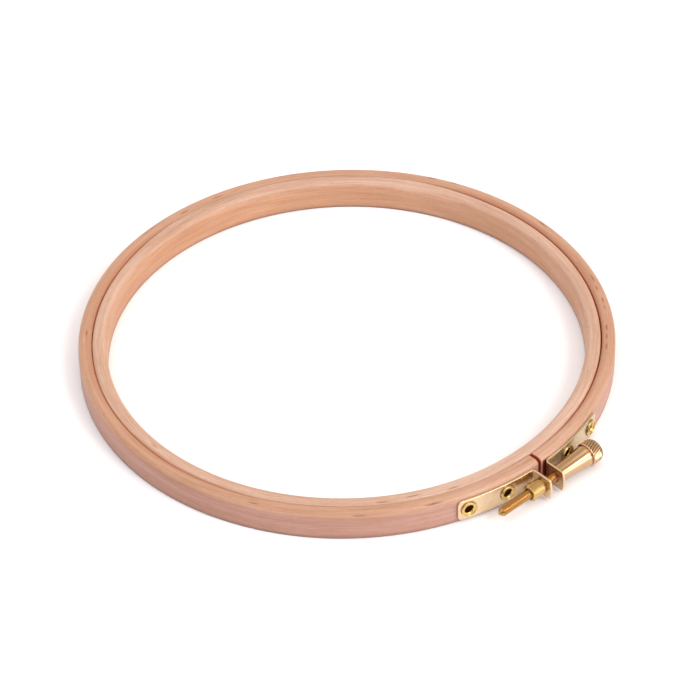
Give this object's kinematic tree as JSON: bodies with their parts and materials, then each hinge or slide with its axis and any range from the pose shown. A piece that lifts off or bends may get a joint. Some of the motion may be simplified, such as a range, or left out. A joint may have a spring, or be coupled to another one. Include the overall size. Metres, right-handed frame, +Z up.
{
  "type": "embroidery hoop",
  "caption": "Round wooden embroidery hoop: a plain inner ring inside a split outer ring that a brass screw draws closed.",
  "frame": {"origin": "middle of the whole object's footprint, on the surface it lies on; the outer ring's centre is 7.1 mm behind it in +Y", "axes": "+Z up, out of the hoop's plane; the split and its screw face -Y; the screw lies along X with its knob at +X"},
  "size_m": [0.286, 0.3002, 0.016],
  "materials": {
    "beech_inner": "fine sanded beech, pinkish tan, satin, small reddish flecks along the grain",
    "beech_outer": "fine sanded beech, pinkish tan, satin, grain running round the ring",
    "brass_strip": "bright pale rolled brass strip",
    "brass_eyelet": "bright yellow pressed brass",
    "brass_nut": "turned brass, fine lathe marks",
    "brass_rod": "cut thread, golden brass",
    "brass_knob": "polished brass body, knurled head"
  },
  "bodies": {
    "outer_left": {"outer_ring_left": "beech_outer", "nut_bracket": "brass_strip", "eyelet_left_end": "brass_eyelet", "eyelet_left_ear": "brass_eyelet", "barrel_nut": "brass_nut"},
    "outer_right": {"outer_ring_right": "beech_outer", "screw_bracket": "brass_strip", "eyelet_right_ear": "brass_eyelet", "eyelet_right_end": "brass_eyelet"},
    "screw": {"threaded_rod": "brass_rod", "knob": "brass_knob"},
    "inner": {"inner_ring": "beech_inner"}
  },
  "joints": [
    {"name": "ring_flex", "type": "hinge", "parent": "outer_left", "child": "outer_right", "pos_m": [0, 0.14655, 0.008], "axis": [0, 0, 1], "range_deg": [-0.1678, 0.7912]},
    {"name": "screw_turn", "type": "hinge", "parent": "outer_right", "child": "screw", "pos_m": [0, -0.1435, 0.008], "axis": [1, 0, 0], "range_deg": [-380, 1800]},
    {"name": "inner_lift", "type": "slide", "parent": "outer_left", "child": "inner", "axis": [0, 0, 1], "range_m": [0, 0.03]}
  ],
  "couplings": [
    {"joint": "ring_flex", "follows": "screw_turn", "ratio": 0.00043897}
  ]
}
